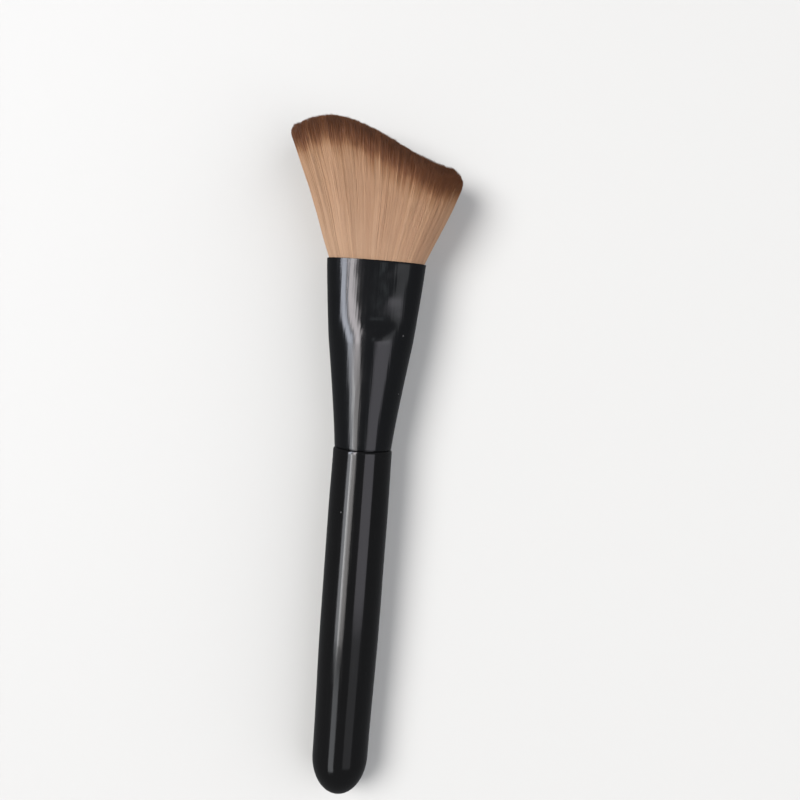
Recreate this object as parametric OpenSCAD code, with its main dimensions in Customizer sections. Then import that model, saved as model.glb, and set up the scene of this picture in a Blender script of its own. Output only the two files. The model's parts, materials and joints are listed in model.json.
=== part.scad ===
// Contour brush lying on its broad side.
// X runs across the head, Y from the butt of the handle to the tips and Z up.
// The origin is at the middle of the bottom of the box around the whole brush.

/* [Handle] */
// Length of the handle from its butt to the ferrule
handle_l = 93; // [80:1:130]
// Diameter of the straight grip
grip_d = 15.6; // [14.8:0.1:17]
// Length of the straight grip
grip_l = 28; // [15:1:34]
// Distance from the shoulder down to the straight grip
swell_l = 17; // [12:1:24]
// Diameter of the butt where its dome begins
butt_d = 14.7; // [12:0.1:14.8]
// Length of the domed butt
dome_l = 10.5; // [6:0.5:14]
// Diameter of the shoulder, a little proud of the ferrule
shoulder_d = 15.3; // [14.8:0.1:16]
// Radius on the edge of the shoulder
shoulder_round = 0.7; // [0.3:0.1:1.5]
// Length of the tenon that sits in the ferrule
tenon_l = 12; // [6:0.5:16]
// Chamfer on the end of the tenon
tenon_chamfer = 0.8; // [0.3:0.1:2]

/* [Ferrule] */
// Length of the ferrule
ferrule_l = 48; // [42:1:60]
// Outer diameter of the ferrule at the handle
joint_d = 14.8; // [13.5:0.1:15]
// Outer width of the cone where the pressed band begins
cone_w = 21.8; // [19:0.2:24]
// Outer thickness of the cone where the pressed band begins
cone_t = 17.2; // [15:0.1:18.8]
// How the cone flares towards the pressed band, where 1 is straight
cone_flare = 1.16; // [1:0.02:1.4]
// Outer width of the pressed mouth
mouth_w = 25.4; // [22:0.1:28]
// Outer thickness of the pressed mouth
mouth_t = 15; // [12:0.1:16.5]
// Length of the pressed band below the mouth
press_l = 20.4; // [14:0.2:24]
// Part of the pressed band over which the cone turns flat
press_turn = 6.2; // [4:0.1:12]
// How the pressed band widens towards the mouth, where 1 is straight
press_flare = 1.15; // [1:0.05:1.4]
// Squareness of the mouth's oval, where 2 is an ellipse
mouth_square = 2.4; // [2:0.1:3]
// Thickness of the tube's wall
ferrule_wall = 0.5; // [0.3:0.05:0.8]
// Gap between the shoulder and the end of the ferrule
seat_gap = 0.15; // [0.05:0.05:0.4]
// Clearance of the tenon, the glue and the roots in the ferrule
fit = 0.1; // [0.06:0.02:0.3]

/* [Bristles] */
// Height of the crest of the cut above the mouth
crest_h = 35.8; // [30:0.2:45]
// Distance of the crest from the axis, towards the tall side
crest_x = 14; // [8:0.5:17]
// Drop of the cut from the crest to the heel
cut_drop = 10.8; // [6:0.1:16]
// Width of the cut from the crest to the heel
cut_run = 34; // [30:0.5:44]
// Drop of the cut from the crest to the tall corner
toe_drop = 4.3; // [1:0.1:6]
// Distance from the axis at which the cut begins to drop to the tall corner
toe_x = 12.8; // [8:0.1:17]
// Angle that the sides of the fan lean outwards
fan_angle = 21.3; // [12:0.1:24]
// Sideways bow of the bristles towards the short side
head_bow = 0.5; // [0:0.05:1]
// Height above the mouth at which they are back in line
bow_h = 31; // [20:0.5:40]
// Greatest thickness of the head
head_t = 21.4; // [20.6:0.1:26]
// Height of the thickest place above the mouth
belly_h = 23; // [16:0.5:28]
// How much each face draws in from the belly to the crest
tip_draw = 1.3; // [0:0.1:3]
// Drop of the tips from the middle plane to the two faces
tip_dome = 1.6; // [0:0.1:3]
// Rounding of the edge around the tips
tip_round = 1.2; // [0.6:0.1:2.5]
// Rounding of the tips at the heel
heel_round = 5.7; // [1.6:0.1:7]
// How far the bristles swell over the edge of the mouth
mouth_swell = 0.1; // [0.05:0.05:0.9]
// Depth of the grooves between the tufts on the faces
groove_depth = 0.35; // [0:0.05:0.6]
// Depth of the roots below the mouth
root_depth = 14; // [8:0.5:18]
// Thickness of the hardened glue under the roots
glue_l = 6; // [3:0.5:8]

/* [Hidden] */
fine = 96;
lacquer_black = [0.06, 0.06, 0.065];
ferrule_black = [0.09, 0.09, 0.10];
bristle_tan = [0.71, 0.55, 0.43];
glue_amber = [0.80, 0.66, 0.38];

grip_r = grip_d / 2;
butt_r = butt_d / 2;
shoulder_r = shoulder_d / 2;
joint_r = joint_d / 2;
bore_r = joint_r - ferrule_wall;
mouth_s = handle_l + seat_gap + ferrule_l;

// Eases from 0 to 1 with a level start and end
function ease(t) = (1 - cos(180 * min(1, max(0, t)))) / 2;

// Straight blend of two values
function blend(from, to, t) = from + (to - from) * t;

// Handle outline as pairs of radius and distance from the butt
dome_steps = 18;
taper_steps = 12;
round_steps = 5;
grip_top = handle_l - swell_l;
grip_bottom = grip_top - grip_l;
dome_outline = [for (i = [0 : dome_steps])
    [butt_r * sin(90 * i / dome_steps), dome_l * (1 - cos(90 * i / dome_steps))]];
taper_outline = [for (i = [1 : taper_steps])
    [blend(butt_r, grip_r, ease(i / taper_steps)), blend(dome_l, grip_bottom, i / taper_steps)]];
swell_outline = [for (i = [0 : taper_steps - 1])
    [blend(grip_r, shoulder_r, ease(i / taper_steps)),
     blend(grip_top, handle_l - shoulder_round, i / taper_steps)]];
shoulder_outline = [for (i = [0 : round_steps])
    [shoulder_r - shoulder_round * (1 - cos(90 * i / round_steps)),
     handle_l - shoulder_round * (1 - sin(90 * i / round_steps))]];
handle_outline = concat(dome_outline, taper_outline, swell_outline, shoulder_outline);
tenon_r = bore_r - fit;
tenon_outline = [
    [tenon_r, handle_l],
    [tenon_r, handle_l + tenon_l - tenon_chamfer],
    [tenon_r - tenon_chamfer, handle_l + tenon_l],
    [0, handle_l + tenon_l],
];

// Oval section of the ferrule at a depth below its mouth
function cone_part(depth) = pow((ferrule_l - depth) / (ferrule_l - press_l), cone_flare);
function press_part(depth) = ease((press_l - depth) / press_turn);
function ferrule_half_w(depth) = depth > press_l
    ? blend(joint_r, cone_w / 2, cone_part(depth))
    : blend(mouth_w / 2, cone_w / 2, pow(depth / press_l, press_flare));
function ferrule_half_t(depth) = depth > press_l
    ? blend(joint_r, cone_t / 2, cone_part(depth))
    : blend(cone_t / 2, mouth_t / 2, press_part(depth));
function ferrule_square(depth) = blend(2, mouth_square, press_part(depth));

// Point of an oval at an angle, as parts of its half width and half thickness
function oval_x(angle, square) = sign(cos(angle)) * pow(abs(cos(angle)), 2 / square);
function oval_y(angle, square) = sign(sin(angle)) * pow(abs(sin(angle)), 2 / square);

// One ring of points around the ferrule's section, drawn in by an inset
ferrule_sides = 72;
function ferrule_ring(depth, inset) = [for (i = [0 : ferrule_sides - 1])
    let (angle = 360 * i / ferrule_sides, square = ferrule_square(depth))
    [(ferrule_half_w(depth) - inset) * oval_x(angle, square),
     (ferrule_half_t(depth) - inset) * oval_y(angle, square),
     mouth_s - depth]];

// Depths at which the ferrule's section is taken, close together where it is pressed
press_steps = 8;
cone_depths = [for (i = [0 : 3]) blend(ferrule_l, press_l, i / 4)];
turn_depths = [for (i = [0 : press_steps]) press_l - press_turn * i / press_steps];
band_depths = [for (i = [1 : 2]) (press_l - press_turn) * (1 - i / 2)];
ferrule_depths = concat(cone_depths, turn_depths, band_depths);

// The same depths over a stretch of the tube, for what fills it
depth_step = 0.05;
function depths_between(deep, shallow) = concat([deep],
    [for (d = ferrule_depths) if (d < deep - depth_step && d > shallow + depth_step) d], [shallow]);

// Joins a stack of rings with triangles, from each ring to the next one
function stack_faces(sides, first, last) = [
    for (r = [first : last - 1], i = [0 : sides - 1], half = [0, 1])
        let (j = (i + 1) % sides, low = r * sides, high = (r + 1) * sides)
        half == 0 ? [low + i, high + i, high + j] : [low + i, high + j, low + j]];

// Closes a ring with a fan of triangles round a centre point
function fan_faces(sides, ring, centre, top) = [
    for (i = [0 : sides - 1])
        let (a = ring * sides + i, b = ring * sides + (i + 1) % sides)
        top ? [centre, b, a] : [centre, a, b]];

function flatten(rings) = [for (ring = rings) each ring];

// Half width and half thickness of the bristle head at a height above the mouth
root_w = mouth_w / 2 - ferrule_wall - fit;
root_t = mouth_t / 2 - ferrule_wall - fit;
swell_h = 1.6;
function mouth_puff(height) = mouth_swell * (1 - exp(-max(0, height) / swell_h));
function head_half_w(height) = root_w + mouth_puff(height) + height * tan(fan_angle);
function head_half_t(height) = height < belly_h
    ? blend(root_t, head_t / 2, sin(90 * height / belly_h))
    : head_t / 2 - tip_draw * pow((height - belly_h) / (crest_h - belly_h), 2);

// Place across the head of a bristle at a part of its half width, with the sideways bow
function head_bend(height) = head_bow * (ease(2 * height / bow_h) - ease(2 * height / bow_h - 1));
function head_x(part, height) = part * head_half_w(height) + head_bend(height);

// Height of the S cut at a distance across the head
toe_run = head_half_w(crest_h - toe_drop) - toe_x;
function toe_fall(x) = toe_drop * pow(max(0, -toe_x - x) / toe_run, 2);
function cut_height(x) = crest_h - toe_fall(x) - cut_drop * ease((x + crest_x) / cut_run);

// Rounding of the edge of the cut, larger towards the heel
function edge_round(across) = blend(tip_round, heel_round, ease(across));

// Follows one bristle of the fan up to the cut
cut_tries = 6;
function tip_height(part, tries) = tries == 0
    ? cut_height(head_x(part, crest_h))
    : cut_height(head_x(part, tip_height(part, tries - 1)));

// Grooves between the tufts: two waves of unlike pitch, which fade out at the mouth
head_sides = 144;
tuft_count = 36;
strand_count = 61;
groove_rise = 7;
function groove(angle, height) = -groove_depth * min(1, height / groove_rise)
    * (0.5 + 0.3 * sin(tuft_count * angle) + 0.2 * sin(strand_count * angle + 40 * sin(3 * angle)));

// Point on a face of the head, at a share of the height of its own bristle
function face_point(angle, share) =
    let (across = oval_x(angle, mouth_square), along = oval_y(angle, mouth_square),
         top = tip_height(across, cut_tries) - tip_dome * along * along - edge_round(across),
         height = share * top,
         half_w = head_half_w(height), half_t = head_half_t(height),
         slope = norm([across / half_w, along / half_t]), cut_in = groove(angle, height) / slope)
    [head_x(across, height) + cut_in * across / half_w, along * half_t + cut_in * along / half_t,
     mouth_s + height];

// Point on the tips, at a turn of the edge's rounding from the face (0) to the cut (90)
function tip_point(angle, turn, reach) =
    let (across = oval_x(angle, mouth_square) * reach, along = oval_y(angle, mouth_square) * reach,
         rough = tip_height(across, cut_tries), radius = edge_round(oval_x(angle, mouth_square)),
         drawn_in = groove(angle, rough) * reach - radius * (1 - cos(turn)),
         part_x = across * (1 + drawn_in / head_half_w(rough)),
         part_y = along * (1 + drawn_in / head_half_t(rough)),
         height = tip_height(part_x, cut_tries) - tip_dome * part_y * part_y - radius * (1 - sin(turn)))
    [head_x(part_x, height), part_y * head_half_t(height), mouth_s + height];

// Rings of the bristle head from the roots to the middle of the tips
face_steps = 11;
edge_steps = 4;
cap_steps = 6;
function head_ring(depth) = [for (i = [0 : head_sides - 1])
    let (angle = 360 * i / head_sides, square = ferrule_square(depth), inset = ferrule_wall + fit)
    [(ferrule_half_w(depth) - inset) * oval_x(angle, square),
     (ferrule_half_t(depth) - inset) * oval_y(angle, square),
     mouth_s - depth]];
root_rings = [for (d = depths_between(root_depth, 0)) head_ring(d)];
face_rings = [for (r = [1 : face_steps]) [for (i = [0 : head_sides - 1])
    face_point(360 * i / head_sides, pow(r / face_steps, 1.25))]];
edge_rings = [for (r = [1 : edge_steps]) [for (i = [0 : head_sides - 1])
    tip_point(360 * i / head_sides, 90 * r / edge_steps, 1)]];
cap_rings = [for (r = [1 : cap_steps]) [for (i = [0 : head_sides - 1])
    tip_point(360 * i / head_sides, 90, 1 - r / (cap_steps + 1))]];
head_rings = concat(root_rings, face_rings, edge_rings, cap_rings);
head_points = flatten(head_rings);
root_centre = [0, 0, mouth_s - root_depth];
middle_tip = tip_height(0, cut_tries);
tip_centre = [head_bend(middle_tip), 0, mouth_s + middle_tip];

// How the brush lies: on the handle near its butt and on the belly of the bristles
belly_line = [for (p = head_points) if (p[1] > head_t / 2 - 1) [p[1], p[2]]];
rest_slope = min([for (p = handle_outline) max([for (q = belly_line) (q[0] - p[0]) / (q[1] - p[1])])]);
rest_tilt = atan(rest_slope);
function lying_y(p) = p[2] * cos(rest_tilt) + p[1] * sin(rest_tilt);
function lying_z(p) = p[2] * sin(rest_tilt) - p[1] * cos(rest_tilt);
handle_under = [for (p = handle_outline) [0, p[0], p[1]]];
handle_over = [for (p = handle_outline) [0, -p[0], p[1]]];
rest_drop = min([for (p = concat(handle_under, head_points)) lying_z(p)]);
middle_x = (min([for (p = head_points) p[0]]) + max([for (p = head_points) p[0]])) / 2;
middle_y = (min([for (p = handle_over) lying_y(p)]) + max([for (p = head_points) lying_y(p)])) / 2;

// Lays a piece that was drawn along its own axis down on the surface
module lie() {
    translate([-middle_x, -middle_y, -rest_drop])
        rotate([rest_tilt, 0, 0])
            rotate([-90, 0, 0])
                children();
}

// Turned handle with a domed butt, a straight grip and a tenon
module handle() {
    color(lacquer_black)
        lie()
            rotate_extrude($fn = fine)
                polygon(concat(handle_outline, tenon_outline));
}

// Drawn tube, round at the handle and pressed to a flat oval at the mouth
module ferrule() {
    outer = [for (d = ferrule_depths) ferrule_ring(d, 0)];
    inner = [for (i = [len(ferrule_depths) - 1 : -1 : 0]) ferrule_ring(ferrule_depths[i], ferrule_wall)];
    rings = concat(outer, inner, [outer[0]]);
    points = flatten(concat(outer, inner));
    count = len(points);
    loop_faces = [for (f = stack_faces(ferrule_sides, 0, len(rings) - 1)) [for (k = f) k % count]];
    color(ferrule_black)
        lie()
            polyhedron(points, loop_faces, convexity = 6);
}

// Fanned bundle with its S cut, its tufts and the roots inside the ferrule
module bristle_head() {
    points = concat(head_points, [root_centre, tip_centre]);
    last = len(head_rings) - 1;
    faces = concat(
        fan_faces(head_sides, 0, len(head_points), false),
        stack_faces(head_sides, 0, last),
        fan_faces(head_sides, last, len(head_points) + 1, true));
    color(bristle_tan)
        lie()
            polyhedron(points, faces, convexity = 6);
}

// Hardened glue that holds the roots, cast against the inside of the ferrule
module glue_plug() {
    depths = depths_between(root_depth + glue_l, root_depth);
    last = len(depths) - 1;
    rings = [for (d = depths) ferrule_ring(d, ferrule_wall + fit)];
    centres = [[0, 0, mouth_s - depths[0]], [0, 0, mouth_s - depths[last]]];
    points = concat(flatten(rings), centres);
    count = len(points) - 2;
    faces = concat(
        fan_faces(ferrule_sides, 0, count, false),
        stack_faces(ferrule_sides, 0, last),
        fan_faces(ferrule_sides, last, count + 1, true));
    color(glue_amber)
        lie()
            polyhedron(points, faces, convexity = 4);
}

handle();
ferrule();
bristle_head();
glue_plug();
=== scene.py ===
import json
import math
import bmesh
import bpy
import numpy as np
from mathutils import Matrix, Vector, noise


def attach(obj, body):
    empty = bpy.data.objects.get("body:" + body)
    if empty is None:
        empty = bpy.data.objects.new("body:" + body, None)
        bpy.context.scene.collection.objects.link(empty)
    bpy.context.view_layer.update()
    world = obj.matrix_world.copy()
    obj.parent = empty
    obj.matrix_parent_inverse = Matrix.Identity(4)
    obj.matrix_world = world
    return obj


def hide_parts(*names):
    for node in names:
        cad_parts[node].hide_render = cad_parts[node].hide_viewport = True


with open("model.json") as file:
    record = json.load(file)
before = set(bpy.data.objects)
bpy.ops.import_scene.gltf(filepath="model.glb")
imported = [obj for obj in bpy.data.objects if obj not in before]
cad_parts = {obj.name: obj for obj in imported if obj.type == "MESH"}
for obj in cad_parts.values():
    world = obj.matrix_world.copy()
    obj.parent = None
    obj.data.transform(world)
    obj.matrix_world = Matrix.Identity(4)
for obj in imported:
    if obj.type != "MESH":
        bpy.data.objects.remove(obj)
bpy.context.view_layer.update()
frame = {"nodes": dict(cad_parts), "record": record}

mm = 0.001
brush = {                              # sizes that more than one piece shares, in mm
    "handleLength": 93.0,
    "gripMiddle": 62.0,                # middle of the straight grip, from the butt
    "jointWidth": 14.8,                # of the ferrule where it meets the handle
    "seatGap": 0.15,
    "ferruleLength": 48.0,
    "wall": 0.5,
    "fit": 0.1,
}
mouthAt = brush["handleLength"] + brush["seatGap"] + brush["ferruleLength"]

grip = next(m for m in frame["record"]["mounts"] if m["name"] == "grip")
along = -Vector(grip["axis"]).normalized()       # from the butt to the tips
across = Vector((1, 0, 0))                       # towards the short side of the head
under = along.cross(across)                      # towards the table
butt = Vector(grip["pos_m"]) - along * brush["gripMiddle"] * mm
lay = Matrix.Translation(butt) @ Matrix((across, under, along)).transposed().to_4x4() @ Matrix.Scale(mm, 4)
layArray = np.array(lay)


def ease(t):
    # from 0 to 1 with a level start and end, for a number or an array
    return (1 - np.cos(np.pi * np.clip(t, 0, 1))) / 2


def blend(start, end, t):
    return start + (end - start) * t


def addPiece(bm, name, material, sharpAngle=40):
    mesh = bpy.data.meshes.new(name)
    bm.to_mesh(mesh)
    bm.free()
    mesh.polygons.foreach_set("use_smooth", [True] * len(mesh.polygons))
    mesh.set_sharp_from_angle(angle=math.radians(sharpAngle))
    return addObject(mesh, name, material)


def addObject(mesh, name, material):
    mesh.materials.append(material)
    piece = bpy.data.objects.new(name, mesh)
    bpy.context.scene.collection.objects.link(piece)
    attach(piece, "root")
    return piece


# Camera: it looks down on the broad face, as the photograph does

viewFrom = {                           # mm and degrees
    "lens": 42.9,
    "sensor": 36.0,
    "nearest": 10.0,
    "distance": 246.3,                 # from the brush's axis
    "footAlong": 125.5,                # the place straight below the camera, from the butt
    "footAcross": 7.2,
    "pitch": 4.5,
    "lean": 4.41,                      # the brush leans to the right in the picture
}


def addCamera(v):
    camera = bpy.data.objects.new("camera", bpy.data.cameras.new("camera"))
    bpy.context.scene.collection.objects.link(camera)
    foot = lay @ Vector((v["footAcross"], 0, v["footAlong"]))
    lean, pitch = math.radians(v["lean"]), math.radians(v["pitch"])
    pictureUp = along * math.cos(lean) - across * math.sin(lean)
    right = across * math.cos(lean) + along * math.sin(lean)
    up = pictureUp * math.cos(pitch) + under * math.sin(pitch)
    back = right.cross(up)
    turned = Matrix((right, up, back)).transposed().to_4x4()
    camera.matrix_world = Matrix.Translation(foot - under * v["distance"] * mm) @ turned
    camera.data.lens = v["lens"]
    camera.data.sensor_width = v["sensor"]
    camera.data.clip_start = v["nearest"] * mm
    bpy.context.scene.camera = camera
    print("camera at", tuple(round(c, 4) for c in camera.location))


addCamera(viewFrom)


# Node helpers

def startMaterial(name):
    material = bpy.data.materials.new(name)
    material.use_nodes = True
    tree = material.node_tree
    return material, tree, tree.nodes["Principled BSDF"]


def addNode(tree, kind, **settings):
    node = tree.nodes.new(kind)
    for key, value in settings.items():
        if key in node.inputs:
            node.inputs[key].default_value = value
        else:
            setattr(node, key, value)
    return node


def setInput(tree, socket, value):
    if isinstance(value, bpy.types.NodeSocket):
        tree.links.new(value, socket)
    elif socket.type == "RGBA":
        socket.default_value = (*value, 1)
    elif value is not None:
        socket.default_value = value


def addMath(tree, operation, first, second=None, clamp=False):
    node = addNode(tree, "ShaderNodeMath", operation=operation, use_clamp=clamp)
    for socket, value in zip(node.inputs, (first, second)):
        setInput(tree, socket, value)
    return node.outputs[0]


def addRamp(tree, factor, stops):
    node = tree.nodes.new("ShaderNodeValToRGB")
    ramp = node.color_ramp
    while len(ramp.elements) < len(stops):
        ramp.elements.new(0.5)
    for element, (place, colour) in zip(ramp.elements, stops):
        element.position = place
        element.color = (*colour, 1)
    tree.links.new(factor, node.inputs["Fac"])
    return node.outputs["Color"]


def mixColours(tree, factor, first, second, mode="MIX"):
    node = addNode(tree, "ShaderNodeMix", data_type="RGBA", blend_type=mode)
    colourInputs = [socket for socket in node.inputs if socket.type == "RGBA"]
    for socket, value in zip([node.inputs[0], *colourInputs], (factor, first, second)):
        setInput(tree, socket, value)
    return next(socket for socket in node.outputs if socket.type == "RGBA")


def brushCoordinates(tree):
    # object coordinates turned and moved so that Z runs along the brush from its butt
    back = Matrix.Scale(mm, 4) @ lay.inverted()
    coordinates = addNode(tree, "ShaderNodeTexCoord")
    mapping = addNode(tree, "ShaderNodeMapping", Location=back.translation, Rotation=back.to_euler())
    tree.links.new(coordinates.outputs["Object"], mapping.inputs["Vector"])
    return mapping.outputs["Vector"]


# Gloss black finish shared by the handle and the ferrule

glossForm = {                          # scales are for a pattern in metres
    "peel": 620.0,                     # slight waves of the coat
    "peelHigh": 0.4,
    "smear": 95.0,                     # wiped patches that are a little duller
    "smearDetail": 4.0,
    "smearBreak": 0.6,
    "smearRough": 0.14,
    "scratch": 1600,                   # across a scratch
    "scratchSets": ((0.12, 26.0), (-0.34, 34.0), (1.2, 40.0)),    # their turn, and the scale along them
    "scratchAbove": 0.72,              # the noise is a scratch where it is over this
    "scratchRough": 1.4,
    "scratchHigh": -2.0,
    "drawn": (2100, 2100, 12),         # fine lines along the brush
    "dust": 240.0,
    "dustWide": 0.06,
    "dustAbove": 0.93,                 # a cell holds a speck where its random value is over this
    "dustRough": 0.4,
    "dustHigh": 0.2,
    "bumpDistance": 0.00004,
}


def addStretchedNoise(group, place, scale, turn=(0, 0, 0)):
    mapping = addNode(group, "ShaderNodeMapping", Rotation=turn, Scale=scale)
    lines = addNode(group, "ShaderNodeTexNoise", Scale=1.0, Detail=0.0)
    group.links.new(place, mapping.inputs["Vector"])
    group.links.new(mapping.outputs["Vector"], lines.inputs["Vector"])
    return lines.outputs["Fac"]


def addDust(group, place, f):
    specks = addNode(group, "ShaderNodeTexVoronoi", Scale=f["dust"], Randomness=1.0)
    pick = addNode(group, "ShaderNodeSeparateColor")
    group.links.new(place, specks.inputs["Vector"])
    group.links.new(specks.outputs["Color"], pick.inputs["Color"])
    near = addMath(group, "LESS_THAN", specks.outputs["Distance"], f["dustWide"])
    few = addMath(group, "GREATER_THAN", pick.outputs[0], f["dustAbove"])
    return addMath(group, "MULTIPLY", near, few)


def addShare(tree, total, value, share):
    return addMath(tree, "ADD", total, addMath(tree, "MULTIPLY", value, share))


def addScratches(group, place, f):
    scratches = 0.0
    for turn, stretch in f["scratchSets"]:
        lines = addStretchedNoise(group, place, (f["scratch"], f["scratch"], stretch), (0, turn, turn * 2))
        thin = addMath(group, "SUBTRACT", lines, f["scratchAbove"], clamp=True)
        scratches = addMath(group, "ADD", thin, scratches)
    return scratches


def makeGlossMarks(f):
    group = bpy.data.node_groups.new("glossMarks", "ShaderNodeTree")
    sockets = {"INPUT": {"Vector": "Vector", "Scratches": "Float", "Drawn": "Float"},
               "OUTPUT": {"Roughness": "Float", "Height": "Float", "Dust": "Float"}}
    for side, kinds in sockets.items():
        for name, kind in kinds.items():
            group.interface.new_socket(name, in_out=side, socket_type="NodeSocket" + kind)
    start = addNode(group, "NodeGroupInput")
    end = addNode(group, "NodeGroupOutput")
    place = start.outputs["Vector"]
    peel = addNode(group, "ShaderNodeTexNoise", Scale=f["peel"], Detail=1.0)
    smear = addNode(group, "ShaderNodeTexNoise", Scale=f["smear"], Detail=f["smearDetail"],
                    Roughness=f["smearBreak"], Distortion=f["smearBreak"])
    for node in (peel, smear):
        group.links.new(place, node.inputs["Vector"])
    scratched = addMath(group, "MULTIPLY", addScratches(group, place, f), start.outputs["Scratches"])
    drawn = addMath(group, "MULTIPLY", addStretchedNoise(group, place, f["drawn"]), start.outputs["Drawn"])
    dust = addDust(group, place, f)
    rough = addMath(group, "MULTIPLY", smear.outputs["Fac"], f["smearRough"])
    rough = addShare(group, rough, scratched, f["scratchRough"])
    rough = addShare(group, rough, dust, f["dustRough"])
    high = addShare(group, drawn, peel.outputs["Fac"], f["peelHigh"])
    high = addShare(group, high, scratched, f["scratchHigh"])
    high = addShare(group, high, dust, f["dustHigh"])
    for name, value in (("Roughness", rough), ("Height", high), ("Dust", dust)):
        group.links.new(value, end.inputs[name])
    return group


glossMarks = makeGlossMarks(glossForm)


def glossBlack(name, finish):
    material, tree, shader = startMaterial(name)
    marks = addNode(tree, "ShaderNodeGroup", node_tree=glossMarks)
    setInput(tree, marks.inputs["Scratches"], finish["scratches"])
    setInput(tree, marks.inputs["Drawn"], finish["drawn"])
    tree.links.new(brushCoordinates(tree), marks.inputs["Vector"])
    colour = mixColours(tree, marks.outputs["Dust"], finish["black"], finish["dust"])
    tree.links.new(colour, shader.inputs["Base Color"])
    rough = addMath(tree, "ADD", marks.outputs["Roughness"], finish["smooth"])
    tree.links.new(rough, shader.inputs["Roughness"])
    bump = addNode(tree, "ShaderNodeBump", Strength=finish["relief"], Distance=glossForm["bumpDistance"])
    tree.links.new(marks.outputs["Height"], bump.inputs["Height"])
    tree.links.new(bump.outputs["Normal"], shader.inputs["Normal"])
    return material


# Handle

handleForm = {                         # mm, as turned
    "gripWidth": 15.6,
    "gripLength": 28.0,
    "swellLength": 17.0,
    "shoulderWidth": 15.3,
    "buttWidth": 14.7,
    "domeLength": 10.5,
    "shoulderRound": 0.7,
    "tenonLength": 12.0,
    "tenonChamfer": 0.8,
    "domeSteps": 40,
    "taperSteps": 24,
    "roundSteps": 8,
    "sides": 192,
    "lacquer": {"black": (0.003, 0.003, 0.0033), "dust": (0.05, 0.05, 0.05), "smooth": 0.06,
                "relief": 0.4, "scratches": 0.4, "drawn": 0.5},
}


def handleOutline(f):
    gripWide, buttWide, shoulderWide = f["gripWidth"] / 2, f["buttWidth"] / 2, f["shoulderWidth"] / 2
    length, rounding = brush["handleLength"], f["shoulderRound"]
    gripTop = length - f["swellLength"]
    gripBottom = gripTop - f["gripLength"]
    points = []
    for i in range(f["domeSteps"] + 1):
        turn = math.pi / 2 * i / f["domeSteps"]
        points.append((buttWide * math.sin(turn), f["domeLength"] * (1 - math.cos(turn))))
    for i in range(1, f["taperSteps"] + 1):
        part = i / f["taperSteps"]
        points.append((blend(buttWide, gripWide, ease(part)), blend(f["domeLength"], gripBottom, part)))
    for i in range(f["taperSteps"]):
        part = i / f["taperSteps"]
        points.append((blend(gripWide, shoulderWide, ease(part)), blend(gripTop, length - rounding, part)))
    for i in range(f["roundSteps"] + 1):
        turn = math.pi / 2 * i / f["roundSteps"]
        low = length - rounding * (1 - math.sin(turn))
        points.append((shoulderWide - rounding * (1 - math.cos(turn)), low))
    tenonWide, chamfer = brush["jointWidth"] / 2 - brush["wall"] - brush["fit"], f["tenonChamfer"]
    tenonTop = length + f["tenonLength"]
    points += [(tenonWide, length), (tenonWide, tenonTop - chamfer)]
    return points + [(tenonWide - chamfer, tenonTop), (0, tenonTop)]


def makeHandle(f):
    bm = bmesh.new()
    verts = [bm.verts.new((wide, 0, high)) for wide, high in handleOutline(f)]
    edges = [bm.edges.new(pair) for pair in zip(verts, verts[1:])]
    bmesh.ops.spin(bm, geom=verts + edges, cent=(0, 0, 0), axis=(0, 0, 1), angle=2 * math.pi,
                   steps=f["sides"], use_merge=True)
    bmesh.ops.remove_doubles(bm, verts=bm.verts, dist=1e-4)
    bmesh.ops.recalc_face_normals(bm, faces=bm.faces)
    bmesh.ops.transform(bm, matrix=lay, verts=bm.verts)
    piece = addPiece(bm, "handleTurned", glossBlack("handleLacquer", f["lacquer"]))
    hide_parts("handle")
    print("handle", len(piece.data.polygons), "faces")


makeHandle(handleForm)


# Ferrule

ferruleForm = {                        # mm, outside sizes
    "coneWidth": 21.8,
    "coneThick": 17.2,
    "coneFlare": 1.16,
    "mouthWidth": 25.4,
    "mouthThick": 15.0,
    "pressLength": 20.4,
    "pressTurn": 6.2,
    "pressSlant": 1.3,                 # of the press mark, from the middle to either side
    "pressFlare": 1.15,
    "square": 2.4,                     # 2 is an ellipse
    "rimBevel": 0.12,
    "rimAngle": 60,                    # an edge sharper than this is a rim
    "uneven": 0.13,                    # how far the pressed faces wander
    "unevenSize": 4.5,
    "unevenApart": 40.0,               # the two faces take their pattern this far to either side
    "wrinkled": 0.03,                  # finer, where the press left its mark
    "wrinkleSize": 1.3,
    "rimLevel": 3.0,                   # the pressed faces run level over this stretch below the mouth
    "sides": 160,
    "cuts": 71,
    "coating": {"black": (0.003, 0.0033, 0.004), "dust": (0.05, 0.05, 0.05), "smooth": 0.1,
                "relief": 0.3, "scratches": 0.3, "drawn": 1.6},
}


def ferruleSection(f, depth, slant):
    # half width, half thickness and squareness at a depth below the mouth, and how far it is pressed
    pressed = ease((f["pressLength"] - depth - slant) / f["pressTurn"])
    climbed = min(1, max(0, brush["ferruleLength"] - depth) / (brush["ferruleLength"] - f["pressLength"]))
    part, joint = climbed ** f["coneFlare"], brush["jointWidth"] / 2
    wide = blend(joint, f["coneWidth"] / 2, part)
    if depth < f["pressLength"]:
        sunk = (max(0, depth) / f["pressLength"]) ** f["pressFlare"]
        wide = blend(f["mouthWidth"] / 2, f["coneWidth"] / 2, sunk)
    thick = blend(blend(joint, f["coneThick"] / 2, part), f["mouthThick"] / 2, pressed)
    return wide, thick, blend(2, f["square"], pressed), pressed


def ovalPoint(turn, square):
    cosine, sine = math.cos(turn), math.sin(turn)
    power = 2 / square
    return math.copysign(abs(cosine) ** power, cosine), math.copysign(abs(sine) ** power, sine)


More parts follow.
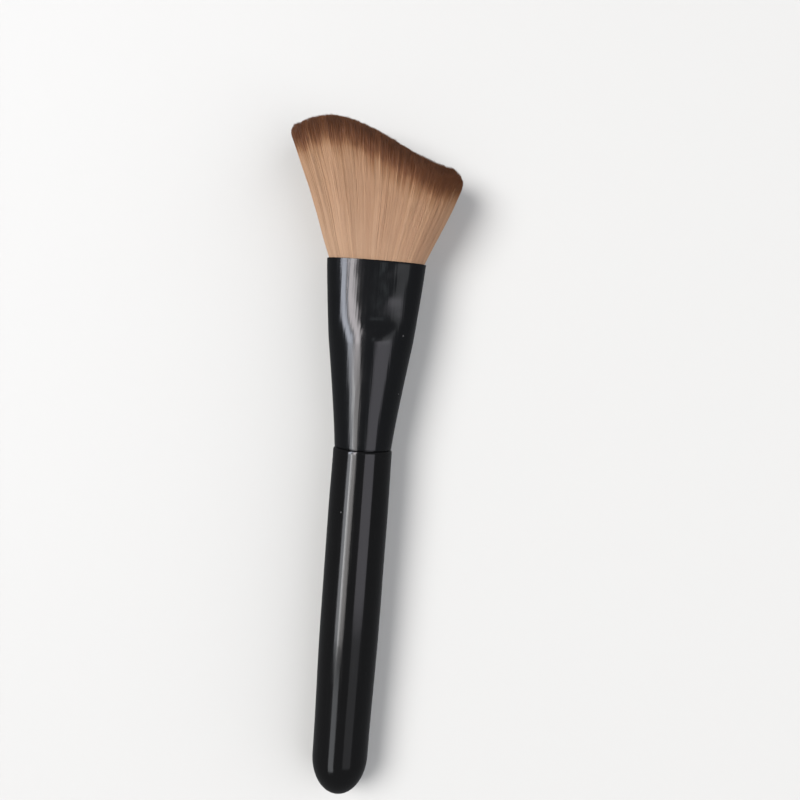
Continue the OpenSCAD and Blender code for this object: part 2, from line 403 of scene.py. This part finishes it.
def shapeFerrule(bm, f):
    for vert in bm.verts:
        turn = math.atan2(vert.co.y, vert.co.x)
        depth = mouthAt - vert.co.z
        halfWide, halfThick, square, pressed = ferruleSection(f, depth, f["pressSlant"] * math.cos(turn))
        x, y = ovalPoint(turn, square)
        spot = Vector((x * halfWide, math.copysign(f["unevenApart"], y), vert.co.z))
        dent = f["uneven"] * noise.noise(spot / f["unevenSize"]) * pressed * ease(depth / f["rimLevel"])
        dent += f["wrinkled"] * noise.noise(spot / f["wrinkleSize"]) * 4 * pressed * (1 - pressed)
        vert.co.x, vert.co.y = x * halfWide, y * (halfThick - dent * y ** 2)


def makeFerrule(f):
    bm = bmesh.new()
    length = brush["ferruleLength"]
    bmesh.ops.create_cone(bm, cap_ends=False, segments=f["sides"], radius1=1, radius2=1, depth=length,
                          matrix=Matrix.Translation((0, 0, mouthAt - length / 2)))
    upright = [e for e in bm.edges if abs(e.verts[0].co.z - e.verts[1].co.z) > length / 2]
    bmesh.ops.subdivide_edges(bm, edges=upright, cuts=f["cuts"], use_grid_fill=True)
    shapeFerrule(bm, f)
    bmesh.ops.recalc_face_normals(bm, faces=bm.faces)
    bmesh.ops.solidify(bm, geom=bm.faces[:], thickness=brush["wall"])
    sharp = math.radians(f["rimAngle"])
    ends = [e for e in bm.edges if e.is_manifold and e.calc_face_angle(0) > sharp]
    bmesh.ops.bevel(bm, geom=ends, offset=f["rimBevel"], segments=3, profile=0.5, affect="EDGES",
                    material=-1)
    bmesh.ops.transform(bm, matrix=lay, verts=bm.verts)
    piece = addPiece(bm, "ferruleTube", glossBlack("ferruleCoating", f["coating"]))
    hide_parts("ferrule")
    print("ferrule", len(piece.data.polygons), "faces")


makeFerrule(ferruleForm)


# Glue plug: the CAD solid stays, hidden in the ferrule

glueForm = {
    "blotches": 260.0,                 # scale of the pattern in metres
    "detail": 4.0,
    "amber": [(0.3, (0.42, 0.24, 0.06)), (0.7, (0.66, 0.45, 0.16))],
    "roughness": 0.35,
    "relief": 0.4,
    "bumpDistance": 0.0001,
}


def makeGlue(f):
    material, tree, shader = startMaterial("hardenedGlue")
    blotches = addNode(tree, "ShaderNodeTexNoise", Scale=f["blotches"], Detail=f["detail"])
    tree.links.new(brushCoordinates(tree), blotches.inputs["Vector"])
    colour = addRamp(tree, blotches.outputs["Fac"], f["amber"])
    tree.links.new(colour, shader.inputs["Base Color"])
    bump = addNode(tree, "ShaderNodeBump", Strength=f["relief"], Distance=f["bumpDistance"])
    tree.links.new(blotches.outputs["Fac"], bump.inputs["Height"])
    tree.links.new(bump.outputs["Normal"], shader.inputs["Normal"])
    shader.inputs["Roughness"].default_value = f["roughness"]
    node = frame["nodes"]["glue_plug"]
    node.data.materials.clear()
    node.data.materials.append(material)
    print("glue plug", len(node.data.polygons), "faces")


makeGlue(glueForm)


# Bristles

bristleForm = {                        # mm
    "fanAngle": 21.3,
    "bow": 0.5,                        # sideways, towards the short side
    "bowHeight": 31.0,
    "swell": 0.1,                      # over the edge of the mouth
    "swellHeight": 1.6,
    "thick": 21.4,
    "bellyHeight": 23.0,
    "tipDraw": 1.3,
    "crestHeight": 35.8,
    "crestAcross": 14.0,               # the S cut falls from here, towards the short side
    "cutDrop": 10.8,
    "cutRun": 34.0,
    "cutSteps": 8,                     # rounds to find where a bristle meets the cut
    "toeDrop": 4.3,                    # and curls down at the tall side, from toeAcross outwards
    "toeAcross": 12.8,
    "tipDome": 1.6,                    # from the middle of the thickness to either face
    "tipRound": 1.1,
    "heelRound": 5.7,
    "square": 2.4,
    "seed": 7,
    "strand": {
        "shellFrom": 0.94,             # those on the faces start at this share of the oval
        "shellCount": 6400,            # on each half
        "shellCuts": 4,                # rings between the two ends of a strand
        "rootDepth": 1.5,              # how far below the mouth they start
        "tipCount": 24000,
        "tipCuts": 2,
        "tipLength": 12.0,
        "tipLengths": (0.65, 1.1),     # least and greatest share of that length
        "tipSunk": 0.08,               # their lower ends start this much deeper in the bundle
        "width": 0.175,
        "taper": 0.25,                 # how much thinner at the tip
        "point": 1.6,                  # length of the pointed end
        "blunt": 0.25,                 # share of the width left at the very end
        "sway": 0.05,
        "swayWaves": 1.1,
        "short": 0.55,                 # tips stay this far under the cut, and vary by the next value
        "ragged": 0.16,
    },
    "clump": {
        "count": 900,
        "width": 22.0,                 # half sizes of the head, to find the nearest clump
        "thick": 9.5,
        "pull": 0.06,
        "tip": 0.12,                   # how much the heights of clumps vary
        "dye": 0.55,                   # and the depth of their dye
        "shade": 0.07,
        "lightShade": 0.36,
        "lightShare": 0.04,
        "lightShareShort": 0.08,       # more of them are light towards the short side
        "shortFrom": 0.1,
    },
    "core": {
        "inset": 0.55,                 # of the dense middle from the faces, and at its tips
        "short": 1.7,
        "insetHeight": 4.0,            # above the mouth, where the inset is full
        "toneWidth": 60.0,
    },
    "tone": {
        "steps": 64,                   # columns of the map, one for each tone
        "columnMiddle": 0.45,
        "columnHalf": 0.375,           # a strand's corners stay this near to the middle of its column
        "middle": 0.05,
        "slope": -0.2,                 # painted shade: darker towards the short side, lighter where the light falls
        "broad": 0.05,                 # height of two slow waves
        "spread": 0.07,
        "light": 0.4,                  # of the few strands that are much lighter
        "lightShare": 0.03,
        "gain": 0.9,
    },
    "dyeDepth": 8.0,                   # how fast the map's second coordinate runs from the tips
    "dyeSpread": 0.5,
    "dyeStray": (1, 4),                # how much less of a light strand is dyed
    "dyeMiddle": -0.4,                 # how much higher the dye ends at the middle of the head
    "paintedShadeTipSlope": -1.1,                  # and from there to its short side; painted shade, darker tips away from the light
    "dyeSides": 0.6,                   # and to both sides
    "dye": [(0.0, (0.09, 0.033, 0.012)), (1.8, (0.14, 0.051, 0.019)), (4.0, (0.165, 0.062, 0.024)),
            (5.6, (0.23, 0.103, 0.045)), (7.2, (0.335, 0.179, 0.09)), (9.4, (0.408, 0.242, 0.142)),
            (20.0, (0.428, 0.262, 0.163)), (34.0, (0.457, 0.294, 0.192))],
    "shade": [(0.0, (0.76, 0.69, 0.67)), (0.3, (0.9, 0.86, 0.84)), (0.7, (1, 1, 1)),
              (1.0, (1.2, 1.2, 1.18))],
    "roughness": 0.5,
    "specular": 0.25,
}


def headHalfWide(f, height):
    root = ferruleForm["mouthWidth"] / 2 - brush["wall"] - brush["fit"]
    swell = f["swell"] * (1 - np.exp(-np.maximum(height, 0) / f["swellHeight"]))
    return root + swell + height * math.tan(math.radians(f["fanAngle"]))


def headHalfThick(f, height):
    root = ferruleForm["mouthThick"] / 2 - brush["wall"] - brush["fit"]
    rise = np.sin(np.pi / 2 * np.clip(height / f["bellyHeight"], -1, 1))
    over = np.maximum(height - f["bellyHeight"], 0) / (f["crestHeight"] - f["bellyHeight"])
    return root + (f["thick"] / 2 - root) * rise - f["tipDraw"] * over ** 2


def headAcross(f, part, height):
    bend = ease(2 * height / f["bowHeight"]) - ease(2 * height / f["bowHeight"] - 1)
    return part * headHalfWide(f, height) + f["bow"] * bend


def cutHeight(f, x):
    toeRun = headHalfWide(f, f["crestHeight"] - f["toeDrop"]) - f["toeAcross"]
    toe = f["crestHeight"] - f["toeDrop"] * (np.minimum(x + f["toeAcross"], 0) / toeRun) ** 2
    return toe - f["cutDrop"] * ease((x + f["crestAcross"]) / f["cutRun"])


def ovalReach(f, partX, partY):
    return (np.abs(partX) ** f["square"] + np.abs(partY) ** f["square"]) ** (1 / f["square"])


def tipHeight(f, partX, partY):
    # follows each bristle of the fan up to the cut, with the edge of the cut rounded
    height = np.full_like(partX, f["crestHeight"])
    for _ in range(f["cutSteps"]):
        height = cutHeight(f, headAcross(f, partX, height))
    rounding = f["tipRound"] + (f["heelRound"] - f["tipRound"]) * ease(partX)
    reach = np.clip(ovalReach(f, partX, partY), 1e-6, 1)
    side = np.hypot(partX * headHalfWide(f, height), partY * headHalfThick(f, height)) / reach
    inset = np.minimum((1 - reach) * side, rounding)
    drop = rounding - np.sqrt(np.maximum(rounding ** 2 - (rounding - inset) ** 2, 0))
    return height - f["tipDome"] * partY ** 2 - drop, drop


def strandTemplate(cuts):
    # one open strand of three sides: its corners around, their share of its length, its triangles
    bm = bmesh.new()
    bmesh.ops.create_cone(bm, cap_ends=False, segments=3, radius1=1, radius2=1, depth=1,
                          matrix=Matrix.Translation((0, 0, 0.5)))
    upright = [e for e in bm.edges if abs(e.verts[0].co.z - e.verts[1].co.z) > 0.5]
    bmesh.ops.subdivide_edges(bm, edges=upright, cuts=cuts, use_grid_fill=True)
    bmesh.ops.recalc_face_normals(bm, faces=bm.faces)
    bmesh.ops.triangulate(bm, faces=bm.faces)
    bm.verts.index_update()
    corners = np.array([v.co for v in bm.verts])
    faces = np.array([[v.index for v in face.verts] for face in bm.faces])
    bm.free()
    return corners[:, :2], corners[:, 2], faces


def placeStrands(f, rng, template, strands):
    # bends each strand along the fan, with its clump's pull, its own sway and its pointed tip
    around, share, faces = template
    form = f["strand"]
    low, top = strands["low"][:, None], strands["top"][:, None]
    count = len(low)
    height = low + (top - low) * share
    up = np.clip(height / f["crestHeight"], 0, 1)
    rise = 1 - strands["sunk"] * (1 - share) ** 2
    x = headAcross(f, strands["partX"][:, None] * rise + strands["pullX"][:, None] * up ** 2, height)
    partY = strands["partY"][:, None] * rise + strands["pullY"][:, None] * up ** 2
    y = partY * headHalfThick(f, height)
    phase = rng.uniform(0, 2 * np.pi, (2, count, 1))
    wave = np.sin(2 * np.pi * form["swayWaves"] * up + phase) * up
    sway = rng.normal(0, form["sway"], (2, count, 1)) * wave
    point = np.clip((1 - share) * (top - low) / form["point"] + form["blunt"], 0, 1)
    thin = form["width"] / 2 * (1 - form["taper"] * share) * point
    turn = rng.uniform(0, 2 * np.pi, (count, 1))
    ringX = around[:, 0] * np.cos(turn) - around[:, 1] * np.sin(turn)
    ringY = around[:, 0] * np.sin(turn) + around[:, 1] * np.cos(turn)
    points = np.stack([x + sway[0] + ringX * thin, y + sway[1] + ringY * thin, height + mouthAt], -1)
    return points.reshape(-1, 3) @ layArray[:3, :3].T + layArray[:3, 3], height


def addStrands(name, f, rng, template, strands, material):
    # repeats the template along every strand and writes the map of tone and distance from the tip
    around, share, faces = template
    count = len(strands["top"])
    points, height = placeStrands(f, rng, template, strands)
    triangles = (faces[None] + (np.arange(count) * len(share))[:, None, None]).reshape(-1, 3)
    mesh = bpy.data.meshes.new(name)
    mesh.from_pydata(points.tolist(), [], triangles.tolist())
    away = np.maximum(strands["top"][:, None] - height + strands["dyed"][:, None], 0)
    inColumn = f["tone"]["columnMiddle"] + f["tone"]["columnHalf"] * around[None, :, 0]
    first = (strands["tone"][:, None] + inColumn) / f["tone"]["steps"]
    corners = np.stack([first, dyeShare(f, away)], -1).reshape(-1, 2)[triangles.ravel()]
    mesh.uv_layers.new(name="OFBake").data.foreach_set("uv", corners.ravel())
    mesh.polygons.foreach_set("use_smooth", [True] * len(mesh.polygons))
    addObject(mesh, name, material)
    print(name, count, "strands", len(mesh.polygons), "faces")


def dyeShare(f, depth):
    return 1 - np.exp(-depth / f["dyeDepth"])


def fillOval(f, rng, count, least):
    # even places in the bundle's oval, from a share of its radius outwards
    tries = 14 * count                 # enough that the narrow rim is filled too
    partX, partY = rng.uniform(-1, 1, (2, tries))
    reach = ovalReach(f, partX, partY)
    keep = np.flatnonzero((reach <= 1) & (reach >= least))[:count]
    return partX[keep], partY[keep]


def makeClumps(f, rng):
    form = f["clump"]
    partX, partY = fillOval(f, rng, form["count"], 0)
    count = len(partX)
    light = rng.random(count) < form["lightShare"] + form["lightShareShort"] * (partX > form["shortFrom"])
    return {
        "x": partX, "y": partY,
        "shade": rng.normal(0, form["shade"], count) + form["lightShade"] * light,
        "dyed": rng.normal(0, form["dye"], count),
        "tip": rng.normal(0, form["tip"], count),
    }


def nearestClump(f, clumps, partX, partY):
    form, chunk = f["clump"], 2000     # a chunk at a time keeps the table of distances small
    nearest = np.empty(len(partX), int)
    for start in range(0, len(partX), chunk):
        part = slice(start, start + chunk)
        gapX = (partX[part, None] - clumps["x"]) * form["width"]
        gapY = (partY[part, None] - clumps["y"]) * form["thick"]
        nearest[part] = (gapX ** 2 + gapY ** 2).argmin(1)
    return nearest


def growStrands(f, rng, clumps, partX, partY, length=None):
    # each strand's place, ends, tone and dye, with shade painted across the head; its clump draws it in
    # and lends it shade and dye
    form, tone = f["strand"], f["tone"]
    nearest = nearestClump(f, clumps, partX, partY)
    count = len(partX)
    broad = tone["broad"] * (np.sin(9 * partX + 1.3) + np.sin(23 * partX + 4 * partY))
    light = rng.random(count) < tone["lightShare"]
    # painted shade: the slope makes strands lighter at the tall side, where the light falls, darker at the
    # short side
    shade = tone["middle"] + tone["slope"] * partX + clumps["shade"][nearest] + broad
    shade += rng.normal(0, tone["spread"], count) + tone["light"] * light
    step = np.clip(np.floor((0.5 + tone["gain"] * shade) * tone["steps"]), 0, tone["steps"] - 1)
    stray = light * rng.uniform(*f["dyeStray"], count)
    # the slope of the lift is painted shade: the dark tips reach lower towards the short side, less far at
    # the tall side
    lift = f["dyeMiddle"] + f["paintedShadeTipSlope"] * partX + f["dyeSides"] * partX ** 2
    cut, rounded = tipHeight(f, partX, partY)
    top = cut - form["short"] + clumps["tip"][nearest] + rng.normal(0, form["ragged"], count)
    low = np.full(count, -form["rootDepth"])
    if length is not None:
        low = top - length * rng.uniform(*form["tipLengths"], count)
    return {
        "partX": partX, "partY": partY, "top": top, "low": low, "tone": step,
        "sunk": 0 if length is None else form["tipSunk"],
        "pullX": (clumps["x"][nearest] - partX) * f["clump"]["pull"],
        "pullY": (clumps["y"][nearest] - partY) * f["clump"]["pull"],
        "dyed": clumps["dyed"][nearest] + rng.normal(0, f["dyeSpread"], count) + stray + lift + rounded,
    }


def bristleMaterial(f):
    material, tree, shader = startMaterial("tanFilament")
    uv = addNode(tree, "ShaderNodeUVMap", uv_map="OFBake")
    split = addNode(tree, "ShaderNodeSeparateXYZ")
    tree.links.new(uv.outputs["UV"], split.inputs["Vector"])
    dye = addRamp(tree, split.outputs["Y"], [(dyeShare(f, depth), colour) for depth, colour in f["dye"]])
    shade = addRamp(tree, split.outputs["X"], f["shade"])
    colour = mixColours(tree, 1.0, dye, shade, "MULTIPLY")
    tree.links.new(colour, shader.inputs["Base Color"])
    shader.inputs["Roughness"].default_value = f["roughness"]
    shader.inputs["Specular IOR Level"].default_value = f["specular"]
    return material


def makeCore(f, material):
    # the dense middle of the bundle, drawn in from the CAD solid so that nothing is seen through it
    form = f["core"]
    bm = bmesh.new()
    bm.from_mesh(frame["nodes"]["bristle_head"].data)
    bmesh.ops.remove_doubles(bm, verts=bm.verts, dist=1e-6)
    bm.normal_update()
    back = lay.inverted()
    for vert in bm.verts:
        height = (back @ vert.co).z - mouthAt
        inset = blend(form["inset"], form["short"], max(0, vert.normal.dot(along)) ** 2)
        vert.co -= vert.normal * inset * mm * min(1, max(0, height / form["insetHeight"]))
    layer = bm.loops.layers.uv.new("OFBake")
    for loop in (loop for face in bm.faces for loop in face.loops):
        spot = back @ loop.vert.co
        away = max(0, cutHeight(f, spot.x) - (spot.z - mouthAt))
        loop[layer].uv = (0.5 + spot.x / form["toneWidth"], dyeShare(f, away))
    piece = addPiece(bm, "bristleCore", material, sharpAngle=180)
    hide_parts("bristle_head")
    print("bristle core", len(piece.data.polygons), "faces")


def makeBristles(f):
    rng = np.random.default_rng(f["seed"])
    form = f["strand"]
    material = bristleMaterial(f)
    clumps = makeClumps(f, rng)
    makeCore(f, material)
    for side, name in ((-1, "bristlesFrontFace"), (1, "bristlesBackFace")):
        partX, partY = fillOval(f, rng, form["shellCount"], form["shellFrom"])
        strands = growStrands(f, rng, clumps, partX, side * np.abs(partY))
        addStrands(name, f, rng, strandTemplate(form["shellCuts"]), strands, material)
    partX, partY = fillOval(f, rng, form["tipCount"], 0)
    thirds = np.array_split(np.argsort(partX), 3)
    for name, chosen in zip(("bristleTipsTall", "bristleTipsMiddle", "bristleTipsHeel"), thirds):
        strands = growStrands(f, rng, clumps, partX[chosen], partY[chosen], form["tipLength"])
        addStrands(name, f, rng, strandTemplate(form["tipCuts"]), strands, material)


makeBristles(bristleForm)


# Floor and lights

studio = {
    "floor": (0.55, 0.55, 0.547),
    "floorHalf": 3.0,                  # m
    "floorRoughness": 0.7,
    "room": 0.26,                      # what fills the shadows
    "gloss": 0.14,                     # what the gloss sees
    "backdrop": 0.72,                  # what the camera sees beyond the floor
    "roomColour": (0.95, 0.97, 1.0),
    "suns": {                          # soft light for the whole floor, out of the reflections
        "key": {"lean": 34, "slant": 12, "soft": 34, "strength": 3.65, "colour": (1.0, 0.985, 0.96)},
        "fill": {"lean": -52, "slant": 6, "soft": 80, "strength": 2.2, "colour": (0.98, 0.98, 1.0)},
    },
    "boxes": {                         # seen in the gloss: lean in degrees from straight up, then mm
        "windowCool": {"lean": 47, "distance": 420, "width": 103, "length": 540, "at": 330,
                       "glow": 10.5, "colour": (0.85, 0.89, 1.0)},
        "windowWarm": {"lean": 29, "distance": 420, "width": 96, "length": 540, "at": 330,
                       "glow": 11.2, "colour": (1.0, 0.95, 0.97)},
        "curtainCool": {"lean": 45, "distance": 420, "width": 130, "length": 170, "at": -25,
                        "glow": 4.0, "colour": (0.93, 0.95, 1.0)},
        "curtainWarm": {"lean": 29.5, "distance": 420, "width": 133, "length": 170, "at": -25,
                        "glow": 4.0, "colour": (1.0, 0.97, 0.96)},
        "curtainSlit": {"lean": 39.5, "distance": 410, "width": 26, "length": 170, "at": -25,
                        "glow": 8.0, "colour": (1.0, 0.99, 0.98)},
        "windowLow": {"lean": 35, "distance": 420, "width": 165, "length": 200, "at": -235,
                      "glow": 1.9, "colour": (0.93, 0.96, 1.0)},
        "fillRight": {"lean": -31.5, "distance": 520, "width": 355, "length": 220, "at": -10,
                      "glow": 1.45, "colour": (0.94, 0.91, 1.0)},
        "fillLow": {"lean": -31.5, "distance": 520, "width": 300, "length": 190, "at": -215,
                    "glow": 0.4, "colour": (0.95, 0.95, 1.0)},
        "fillFar": {"lean": -36, "distance": 520, "width": 250, "length": 110, "at": 155,
                    "glow": 0.7, "colour": (0.95, 0.97, 1.0)},
        "fillEdge": {"lean": -27, "distance": 510, "width": 300, "length": 34, "at": 96,
                     "glow": 1.5, "colour": (0.95, 0.93, 1.0)},
        "fillFront": {"lean": -5, "distance": 500, "width": 34, "length": 90, "at": 190,
                      "glow": 0.9, "colour": (0.85, 0.95, 1.0)},
    },
}


def addFloor(s):
    bm = bmesh.new()
    bmesh.ops.create_grid(bm, x_segments=2, y_segments=2, size=s["floorHalf"])
    mesh = bpy.data.meshes.new("floor")
    bm.to_mesh(mesh)
    bm.free()
    floor = bpy.data.objects.new("floor", mesh)
    bpy.context.scene.collection.objects.link(floor)
    material, tree, shader = startMaterial("paleFloor")
    setInput(tree, shader.inputs["Base Color"], s["floor"])
    setInput(tree, shader.inputs["Roughness"], s["floorRoughness"])
    mesh.materials.append(material)
    floor.visible_glossy = False       # the gloss shows the lights alone


def addLamp(name, kind, settings):
    # leans from straight up over the brush towards the tall side of its head
    light = bpy.data.lights.new(name, kind)
    light.color = settings["colour"]
    lamp = bpy.data.objects.new(name, light)
    bpy.context.scene.collection.objects.link(lamp)
    lean = math.radians(settings["lean"])
    return lamp, light, -across * math.sin(lean) - under * math.cos(lean)


def aimLamp(lamp, place, outward, side):
    lamp.matrix_world = Matrix.Translation(place) @ Matrix(
        (side, outward.cross(side), outward)).transposed().to_4x4()


def addSun(name, sun):
    lamp, light, outward = addLamp(name, "SUN", sun)
    outward = (outward + along * math.tan(math.radians(sun["slant"]))).normalized()
    light.angle = math.radians(sun["soft"])
    light.energy = sun["strength"]
    lamp.visible_glossy = False
    aimLamp(lamp, outward, outward, along.cross(outward).normalized())


def addSoftbox(name, box):
    lamp, light, outward = addLamp(name, "AREA", box)
    light.shape = "RECTANGLE"
    light.size, light.size_y = box["width"] * mm, box["length"] * mm
    light.energy = box["glow"] * math.pi * light.size * light.size_y
    lamp.visible_diffuse = False
    place = lay @ Vector((0, 0, box["at"])) + outward * box["distance"] * mm
    aimLamp(lamp, place, outward, along.cross(outward))


def setWorld(s):
    world = bpy.data.worlds.new("softRoom")
    world.use_nodes = True
    background = world.node_tree.nodes["Background"]
    setInput(world.node_tree, background.inputs["Color"], s["roomColour"])
    rays = addNode(world.node_tree, "ShaderNodeLightPath")
    strength = s["room"]
    for ray, glow in (("Is Camera Ray", s["backdrop"]), ("Is Glossy Ray", s["gloss"])):
        seen = addMath(world.node_tree, "MULTIPLY", rays.outputs[ray], glow - s["room"])
        strength = addMath(world.node_tree, "ADD", seen, strength)
    world.node_tree.links.new(strength, background.inputs["Strength"])
    bpy.context.scene.world = world
    bpy.context.scene.view_settings.view_transform = "Standard"


addFloor(studio)
setWorld(studio)
for lightName, sun in studio["suns"].items():
    addSun(lightName, sun)
for lightName, box in studio["boxes"].items():
    addSoftbox(lightName, box)
print("studio ready")
